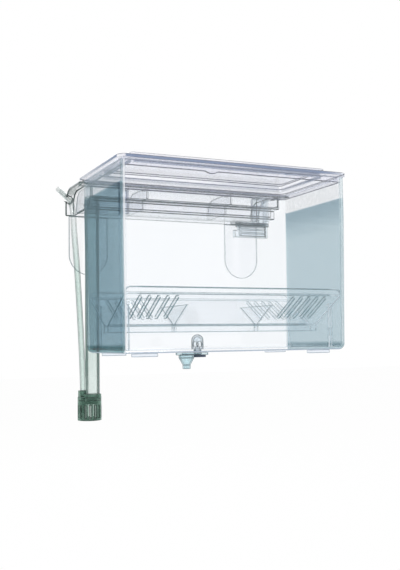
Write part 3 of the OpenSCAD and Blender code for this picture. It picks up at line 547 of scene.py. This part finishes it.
class Stage(bpy.types.Operator):
    """Sets the camera at the photograph's place, a pale floor, soft lamps and a pale room"""
    bl_idname = "breeding_box.stage"
    bl_label = "Stage"

    def execute(self, context):
        s = settings("stage")
        scene = context.scene
        scene.view_settings.view_transform = "Standard"
        scene.cycles.transparent_max_bounces = 64
        scene.cycles.max_bounces = 16
        self.camera(scene, s)
        self.floor(scene, s)
        self.lamps(scene)
        self.room(scene, s)
        return {"FINISHED"}

    def put(self, scene, name, data, right, up, back, place):
        """Links data as an object at a place, with its axes along three directions."""
        pose = np.eye(4)
        pose[:3, 0], pose[:3, 1], pose[:3, 2], pose[:3, 3] = right, up, back, place
        thing = bpy.data.objects.new(name, data)
        scene.collection.objects.link(thing)
        thing.matrix_world = Matrix(pose.tolist())
        return thing

    def camera(self, scene, s):
        """Looks ahead by the turn and the tilt, and is rolled about that line."""
        yaw, pitch, roll = s.camera_turn, s.camera_tilt, s.camera_roll
        ahead = np.array([math.sin(yaw) * math.cos(pitch), math.cos(yaw) * math.cos(pitch),
                          math.sin(pitch)])
        right = np.array([math.cos(yaw), -math.sin(yaw), 0.0])
        up = np.cross(right, ahead)
        data = bpy.data.cameras.new("Camera")
        data.lens, data.sensor_width = s.lens, 36
        data.clip_start, data.clip_end = 0.01, 50
        scene.camera = self.put(
            scene, "Camera", data, math.cos(roll) * right + math.sin(roll) * up,
            -math.sin(roll) * right + math.cos(roll) * up, -ahead, s.camera_place)

    def floor(self, scene, s):
        mesh = bpy.data.meshes.new("floor")
        reach, height = s.floor_reach, -s.floor_drop
        mesh.from_pydata([(-reach, -reach, height), (reach, -reach, height),
                          (reach, reach, height), (-reach, reach, height)], [], [(0, 1, 2, 3)])
        floor = bpy.data.objects.new("floor", mesh)
        scene.collection.objects.link(floor)
        f = Finish("pale_floor")
        plain = f.add("ShaderNodeBsdfDiffuse", {
            "Color": f.blend(f.ramp(f.noise(3), 0.3, 0.7), s.floor_tint, s.floor_cloud)})
        path = f.add("ShaderNodeLightPath").outputs
        seen = f.most(path["Is Camera Ray"], path["Is Glossy Ray"], path["Is Transmission Ray"])
        glow = f.add("ShaderNodeEmission", {"Color": (1, 1, 1), "Strength": 1.0})
        mesh.materials.append(f.done(f.mix(f.times(seen, s.floor_glow), plain, glow)))

    def lamps(self, scene):
        """Square lamps that look at the origin: each one's place, side and power in watts."""
        for name, place, side, power in (
                ("key_lamp", (-0.9, -1.1, 1.3), 0.9, 14.0),
                ("fill_lamp", (1.2, -0.7, 0.5), 0.8, 5.0),
                ("back_lamp", (0.2, 1.3, 1.1), 1.0, 8.0)):
            data = bpy.data.lights.new(name, "AREA")
            data.size, data.energy = side, power
            back = np.array(place) / np.linalg.norm(place)
            right = np.cross((0, 0, 1), back)
            right /= np.linalg.norm(right)
            self.put(scene, name, data, right, np.cross(back, right), back, place)

    def room(self, scene, s):
        """Even light on the object, white behind it, and a studio in its gloss: a colour ramp
        from the room's left to its right."""
        scene.world = bpy.data.worlds.new("room")
        n = Nodes(scene.world)
        path = n.add("ShaderNodeLightPath").outputs
        seen = n.most(path["Is Camera Ray"], path["Is Transmission Ray"])
        coords = n.add("ShaderNodeTexCoord").outputs["Generated"]
        look = n.add("ShaderNodeSeparateXYZ", {0: coords}).outputs
        across = n.add("ShaderNodeMapRange", {
            "Value": look[X], "From Min": -1.0, "From Max": 1.0})
        mirrored = n.add("ShaderNodeValToRGB", {0: across})
        tones = mirrored.color_ramp.elements
        tones[0].color = (0.3, 0.4, 0.43, 1)
        tones[1].color = (0.45, 0.53, 0.57, 1)
        for at, tone in ((0.24, (0.14, 0.22, 0.25, 1)), (0.36, (0.35, 0.46, 0.5, 1)),
                         (0.48, (0.97, 0.98, 1, 1)), (0.86, (1, 1, 1, 1))):
            tones.new(at).color = tone
        level, white, studio = (
            n.add("ShaderNodeBackground", {"Color": paint, "Strength": strength})
            for paint, strength in (((1, 1, 1), s.world_level), ((1, 1, 1), 1.0), (mirrored, 1.0)))
        lit = n.mix(path["Is Glossy Ray"], level, studio)
        n.add("ShaderNodeOutputWorld", {"Surface": n.mix(seen, lit, white)})


class AirHose(bpy.types.Operator):
    """Sweeps the clear air hose along its route, hollow and with its cut end open"""
    bl_idname = "breeding_box.air_hose"
    bl_label = "Air hose"

    def execute(self, context):
        h = settings("hose")
        path = smooth_path(HOSE_ROUTE, h.steps)
        mesh = tube("air_hose_tube", path, h.outer / 2, h.bore / 2, h.sides)
        pale_from, pale_to = -0.07, 0.004

        def shaded(f):
            return f.ramp(f.place()[Z], pale_from, pale_to, 0.92, 0.25)

        def tone(f):
            return f.blend(f.ramp(f.place()[Z], pale_from, pale_to), h.low_tint, h.high_tint)

        # Painted shade along the hose's sides, thinner towards its free end
        vinyl = clear_plastic("clear_vinyl", tone, (0.8, 0.86, 0.86), 0.03, 0.15,
                              (0.14, 0.2, 0.19), edge_power=2.4, roughness=0.12,
                              gloss_gain=0.4, bands=[(outline(0.3, 0.52), shaded, h.shade)])
        hose = finished("air_hose_tube", mesh, "air_hose", [vinyl])
        return {"FINISHED"}


class BoxShell(bpy.types.Operator):
    """Eases and finishes the box's clear walls, with grey-teal painted shade on their ends"""
    bl_idname = "breeding_box.shell"
    bl_label = "Box walls"

    def execute(self, context):
        s = settings("walls")
        low, high = (point[Z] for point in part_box("box_shell"))
        shoulder = high - s.end_top_height
        under_top = low + 0.0024

        def each_end(f, left, right):
            return f.blend(f.ramp(f.place()[X], -0.05, 0.05), left, right)

        def ends(f):
            """From the foot up: the foot's painted shade, the end's painted shade, which turns to
            a darker shade of the left end's towards the shoulder, and the mottled top. Streaks run
            over all but the top. The painted shade stands in for the dark that refraction gives
            through the end walls."""
            height = f.place()[Z]
            deep = f.blend(f.ramp(height, shoulder - 0.03, shoulder),
                           each_end(f, s.left_end_shade, s.right_end_shade), [c * 0.94 for c in s.left_end_shade])
            foot = f.blend(f.ramp(height, low + 0.0075, low + 0.0035), deep,
                           each_end(f, s.left_foot_shade, s.right_foot_shade))
            streaks = f.noise(14, 3, f.stretched((1, 1, 0.25)))
            drawn = f.blend(f.ramp(streaks, 0.3, 0.7, 0.0, 0.22), foot, s.streaks)
            mottled = f.blend(f.ramp(f.noise(420, 4), 0.45, 0.62), s.end_top, s.mottle)
            full = f.blend(f.ramp(height, shoulder - 0.0006, shoulder + 0.0006), drawn, mottled)
            return f.blend(end_faces(f), s.tint, full)

        # Painted shade along the rounded edge of the underside
        def under(f):
            down = f.times(f.normal()[Z], -1.0)
            return f.times(between(f, down, 0.78, 0.975, 0.02), slab(f, Z, low - 0.001, under_top))

        def shine(f):
            """Less gloss on the foot of the ends, which would mirror the floor."""
            dull = f.ramp(f.place()[Z], low + 0.004, low + 0.007, 0.85, 0.0)
            return f.less(MIRROR_GAIN, f.times(end_faces(f), dull))

        # Painted highlights (pale) and painted shade (teal and grey) in the upright corners
        stripes = ((-1, -1, 0.4, 0.62, 0.4, s.painted_corner_highlight),
                   (-1, -1, 0.7, 0.84, 0.5, s.painted_corner_shade),
                   (-1, 1, 0.4, 0.8, 0.45, s.painted_corner_highlight),
                   (1, -1, 0.1, 0.2, 0.55, s.painted_corner_shade),
                   (1, -1, 0.24, 0.56, 0.5, (0.3, 0.42, 0.45)),
                   (1, -1, 0.62, 0.95, 0.7, (0.72, 0.79, 0.82)),
                   (1, 1, 0.1, 0.42, 0.8, s.painted_corner_shade),
                   (1, 1, 0.5, 0.85, 0.5, s.painted_corner_highlight))
        walls = clear_plastic(
            "clear_walls", ends, s.haze, 0.01, 0.16, gloss_gain=shine,
            bands=[(under, 0.9, s.under_edge_shade)] + [
                (corner(*stripe), density, paint) for *stripe, density, paint in stripes])
        # Painted shade on the walls' bevelled edges
        arris = edge_plastic("wall_arris", s.arris, 0.45, (0.93, 0.94, 0.97))
        eased("box_shell", [walls, arris], s.arris_width)
        return {"FINISHED"}


class Feet(bpy.types.Operator):
    """Eases and finishes the four foot pads"""
    bl_idname = "breeding_box.feet"
    bl_label = "Feet"

    def execute(self, context):
        s = settings("fittings")
        pad = clear_plastic("foot_plastic", s.foot, (0.74, 0.79, 0.87), 0.05, 0.4)
        # Painted shade on the feet's bevelled edges
        arris = edge_plastic("foot_arris", (0.3, 0.38, 0.48), 0.6)
        for node in ("foot_front_left", "foot_front_right", "foot_back_left", "foot_back_right"):
            eased(node, [pad, arris], s.foot_width)
        return {"FINISHED"}


class Lid(bpy.types.Operator):
    """Eases and finishes the lavender lid, with violet-blue painted shade on its rim"""
    bl_idname = "breeding_box.lid"
    bl_label = "Lid"

    def execute(self, context):
        s = settings("lid")
        rim_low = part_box("box_shell")[1][Z]
        rim_high = rim_low + s.rim_height
        front, back = (point[Y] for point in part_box("lid"))
        fade = 0.0002

        # Painted shade: a violet-blue band round the rim
        def rim(f):
            return f.times(faces_along(f, X, Y),
                           slab(f, Z, rim_low - fade, rim_high + fade, fade))

        def rim_depth(f):
            """The depth of the rim's painted shade: deepest at the front left, paler to the right
            end and to the back.
            """
            x, y, _ = f.place()
            return f.times(f.ramp(x, 0.075, 0.094, 1.0, 0.45),
                           f.ramp(y, front, back, 0.95, 0.25))

        # Painted shade on the raised panel's sides
        def panel_side_shade(f):
            return f.times(faces_along(f, Y),
                           slab(f, Z, rim_high + fade, rim_high + s.panel_height, fade))

        def panel_depth(f):
            """The depth of the panel sides' painted shade: deepest at the front right, clear to
            the left of the middle.
            """
            x, y, _ = f.place()
            return f.times(f.ramp(x, -0.01, 0.05, 0.0, 0.75), f.ramp(y, front, back, 1.0, 0.3))

        def arris_depth(f):
            """The depth of the painted edge shade, paler along the rim's lower edge."""
            return f.less(0.92, f.times(slab(f, Z, rim_low - 0.0003, rim_low + 0.001), 0.75))

        clear = clear_plastic("lid_plastic", s.tint, (0.95, 0.94, 0.99), 0.03, 0.03,
                              (0.85, 0.85, 0.94), gloss_gain=0.4,
                              bands=[(rim, rim_depth, s.rim),
                                     (panel_side_shade, panel_depth, s.panel_side_shade)])
        # Painted shade on the lid's bevelled edges
        arris = edge_plastic("lid_arris", s.arris, arris_depth, (0.9, 0.91, 0.95))
        eased("lid", [clear, arris], s.arris_width)
        return {"FINISHED"}


class Hook(bpy.types.Operator):
    """Eases and finishes the hook with its water channel, dividers and tongues"""
    bl_idname = "breeding_box.hook"
    bl_label = "Hook, dividers and tongues"

    def execute(self, context):
        s = settings("hook")
        left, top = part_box("rim_hook")[0][X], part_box("rim_hook")[1][Z]
        fade = 0.001

        # Painted shade: a dark green band over the left end of the hood
        def hood_end(f):
            return f.times(slab(f, X, left - fade, left + 0.007, fade),
                           slab(f, Z, top - 0.0055, top + fade, fade))

        clear = clear_plastic("hook_plastic", s.tint, (0.86, 0.87, 0.93), 0.025, 0.15,
                              gloss_gain=0.5, bands=[(hood_end, 0.36, s.end_shade)])
        # Painted shade on the bevelled edges of the hook and dividers
        arris = edge_plastic("hook_arris", s.arris, 1.0)
        eased("rim_hook", [clear, arris], s.arris_width)
        for node in ("left_divider", "right_divider"):
            eased(node, [clear, arris], s.divider_arris_width)
        thin = clear_plastic("tongue_plastic", s.tongue, (0.93, 0.94, 0.97), 0.015, 0.05,
                             gloss_gain=0.4)
        # Painted shade on the tongues' bevelled edges
        soft = edge_plastic("tongue_edge_shade", s.tongue_edge_shade, 0.85)
        for node in ("left_tongue", "right_tongue"):
            eased(node, [thin, soft], s.tongue_arris_width)
        return {"FINISHED"}


class Spout(bpy.types.Operator):
    """Eases and finishes the inlet spout"""
    bl_idname = "breeding_box.spout"
    bl_label = "Inlet spout"

    def execute(self, context):
        s = settings("fittings")
        clear = clear_plastic("spout_plastic", s.spout, (0.74, 0.76, 0.84), 0.06, 0.4)
        # Painted shade on the spout's bevelled edges
        arris = edge_plastic("spout_arris", settings("hook").arris, 0.85)
        eased("inlet_spout", [clear, arris], s.fine_width)
        return {"FINISHED"}


class Outlet(bpy.types.Operator):
    """Eases and finishes the outlet duct and its guard"""
    bl_idname = "breeding_box.outlet"
    bl_label = "Outlet duct and guard"

    def execute(self, context):
        s = settings("fittings")
        clear = clear_plastic("outlet_plastic", s.outlet, (0.78, 0.82, 0.87), 0.03, 0.35)
        # Painted shade on the outlet's bevelled edges
        arris = edge_plastic("outlet_arris", settings("hook").arris, 0.8)
        for node in ("outlet_duct", "outlet_guard"):
            eased(node, [clear, arris], s.fine_width)
        return {"FINISHED"}


class LiftTube(bpy.types.Operator):
    """Finishes the air-lift tube"""
    bl_idname = "breeding_box.lift_tube"
    bl_label = "Lift tube"

    def execute(self, context):
        s = settings("fittings")

        def dark_side(f):
            """1 on the strip that looks to the left and a little to the back: a stripe of painted
            shade that stands in for the dark the tube refracts there.
            """
            x, y, _ = f.normal()
            return f.ramp(f.plus(f.times(x, -0.9), f.times(y, 0.42)), 0.84, 0.97)

        # Painted shade: the tube's sides, and a stripe on its left
        clear = clear_plastic("tube_plastic", s.tube, (0.66, 0.76, 0.71), 0.06, 0.9,
                              (0.05, 0.13, 0.1), edge_power=2.6,
                              bands=[(outline(0.22, 0.45), 0.75, s.tube_shade),
                                     (dark_side, 0.65, (0.07, 0.15, 0.115))])
        # Painted shade on the tube's bevelled edges
        arris = edge_plastic("tube_arris", (0.08, 0.16, 0.13), 0.85)
        eased("lift_tube", [clear, arris], s.fine_width)
        return {"FINISHED"}


class Strainer(bpy.types.Operator):
    """Eases and finishes the strainer cap, its cage and the air nozzle inside"""
    bl_idname = "breeding_box.strainer"
    bl_label = "Strainer and air nozzle"

    def execute(self, context):
        s = settings("fittings")
        green = moulded_plastic("strainer_plastic", s.strainer, 0.3, clear=0.75)
        # Painted shade: near-black bevelled edges, which darken the slots' sides
        dark = moulded_plastic("strainer_arris", [c * 0.1 for c in s.strainer], 0.25)
        for node in ("strainer_cap", "strainer_cage", "air_nozzle"):
            eased(node, [green, dark], s.strainer_width)
        return {"FINISHED"}


class Tray(bpy.types.Operator):
    """Eases and finishes the fry tray's plates and webs"""
    bl_idname = "breeding_box.tray"
    bl_label = "Fry tray"

    def execute(self, context):
        s = settings("tray")
        reach, _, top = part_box("tray_front_plate")[1]
        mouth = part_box("tray_web_left")[0][Z]
        fade = 0.0002

        def rim(f):
            """1 near the rounded outline of the rim, where a painted shade line lies: the length
            of the part of (x, z) beyond the corners' middles, over the corners' radius less the
            line's width."""
            x, _, z = f.place()
            wide, tall = (f.most(f.less(value, edge - s.rim_bend), 0.0)
                          for value, edge in ((f.size(x), reach), (z, top)))
            far = f.math("SQRT", f.plus(f.times(wide, wide), f.times(tall, tall)))
            line = s.rim_bend - s.rim_shade_line
            return f.times(slab(f, Z, top - 0.0045, top + 0.001),
                           f.ramp(far, line - fade, line + fade))

        def faded(paint):
            """The painted edge shade, which turns to painted light near both ends of the plate."""
            return lambda f: f.blend(
                f.ramp(f.size(f.place()[X]), reach - 0.014, reach - 0.008), paint, s.end_edge_light)

        def lightened(density):
            """The density of the painted edge shade, a third of it round the mouth, where the webs
            meet the plates.
            """
            return lambda f: f.times(f.less(1.0, f.times(
                slab(f, Z, mouth - 0.004, mouth + 0.0025, 0.0006), 0.65)), density)

        def one_sided(density):
            """The density of the painted edge shade on the front right edge of each slot, so that
            a slot reads as one line, half of it on level edges and a sixth of it on the slots'
            other edges."""
            def share_of(f):
                x, y, _ = f.normal()
                level = f.ramp(f.size(x), 0.15, 0.3, 0.5, 0.0)
                chosen = f.times(f.ramp(x, -0.3, -0.15, 1.0, 0.0), f.ramp(y, -0.2, 0.0, 1.0, 0.0))
                return f.times(lightened(density)(f), f.most(level, chosen, 0.16))
            return share_of

        web = clear_plastic("tray_web_plastic", s.tint, s.haze, 0.01, 0.05, gloss_gain=0.3)
        plate = clear_plastic("tray_plastic", s.tint, s.haze, 0.012, 0.08, gloss_gain=0.4)
        lined = clear_plastic("tray_front_plastic", s.tint, s.haze, 0.012, 0.08, gloss_gain=0.4,
                              bands=[(rim, 0.85, s.near_edge_shade)])
        # Painted shade on the bevelled edges of the plates and webs
        near = edge_plastic("tray_arris", faded(s.near_edge_shade), one_sided(1.0))
        far = edge_plastic("tray_far_arris", faded(s.far_edge_shade), one_sided(0.9))
        side = edge_plastic("web_arris", s.near_edge_shade, lightened(0.75))
        eased("tray_front_plate", [lined, near], s.near_width)
        eased("tray_back_plate", [plate, far], s.far_width)
        for node in ("tray_web_left", "tray_web_right"):
            eased(node, [web, side], s.far_width)
        return {"FINISHED"}


class Drain(bpy.types.Operator):
    """Eases and finishes the drain's outlet, gasket, valve and lever"""
    bl_idname = "breeding_box.drain"
    bl_label = "Drain"

    def execute(self, context):
        s = settings("fittings")
        # Painted shade where the drain and the valve turn away, and on their bevelled edges
        clear = clear_plastic("drain_plastic", s.drain, (0.55, 0.67, 0.72), 0.08, 0.5,
                              (0.08, 0.18, 0.22),
                              bands=[(outline(0.4, 0.65), 0.6, (0.1, 0.23, 0.27))])
        valve = clear_plastic("valve_plastic", s.valve, (0.66, 0.74, 0.79), 0.03, 0.3,
                              (0.04, 0.1, 0.1),
                              bands=[(outline(0.34, 0.56), 0.95, (0.02, 0.06, 0.06))])
        arris = edge_plastic("drain_arris", (0.06, 0.1, 0.14), 0.85)
        eased("drain_outlet", [clear, arris], s.drain_width)
        eased("drain_valve", [valve, arris], s.drain_width)
        eased("drain_lever", [moulded_plastic("lever_plastic", s.lever, 0.3)], s.fine_width)
        eased("drain_gasket", [moulded_plastic("gasket_rubber", s.gasket, 0.6)], s.gasket_width)
        return {"FINISHED"}


OPERATORS = (Stage, AirHose, BoxShell, Feet, Lid, Hook, Spout, Outlet, LiftTube, Strainer, Tray,
             Drain)
GROUPS = {"stage": StageSettings, "walls": WallSettings, "lid": LidSettings,
          "hook": HookSettings, "tray": TraySettings, "fittings": FittingSettings,
          "hose": HoseSettings}


class BreedingBoxPanel(bpy.types.Panel):
    """Lists the pieces and their settings"""
    bl_idname = "VIEW3D_PT_breeding_box"
    bl_label = "Breeding box"
    bl_space_type = "VIEW_3D"
    bl_region_type = "UI"
    bl_category = "Breeding box"

    def draw(self, context):
        for operator in OPERATORS:
            self.layout.operator(operator.bl_idname)
        for kind in GROUPS:
            group = settings(kind)
            for name in group.bl_rna.properties.keys():
                if name not in ("rna_type", "name"):
                    self.layout.prop(group, name)


CLASSES = (*GROUPS.values(), *OPERATORS, BreedingBoxPanel)


def register():
    for cls in CLASSES:
        bpy.utils.register_class(cls)
    for kind, group in GROUPS.items():
        setattr(bpy.types.Scene, "breeding_box_" + kind, PointerProperty(type=group))


def unregister():
    for kind in GROUPS:
        delattr(bpy.types.Scene, "breeding_box_" + kind)
    for cls in reversed(CLASSES):
        bpy.utils.unregister_class(cls)


def main():
    register()
    for operator in OPERATORS:
        name = operator.bl_idname.split(".")[1]
        getattr(bpy.ops.breeding_box, name)()


if __name__ == "__main__":
    main()
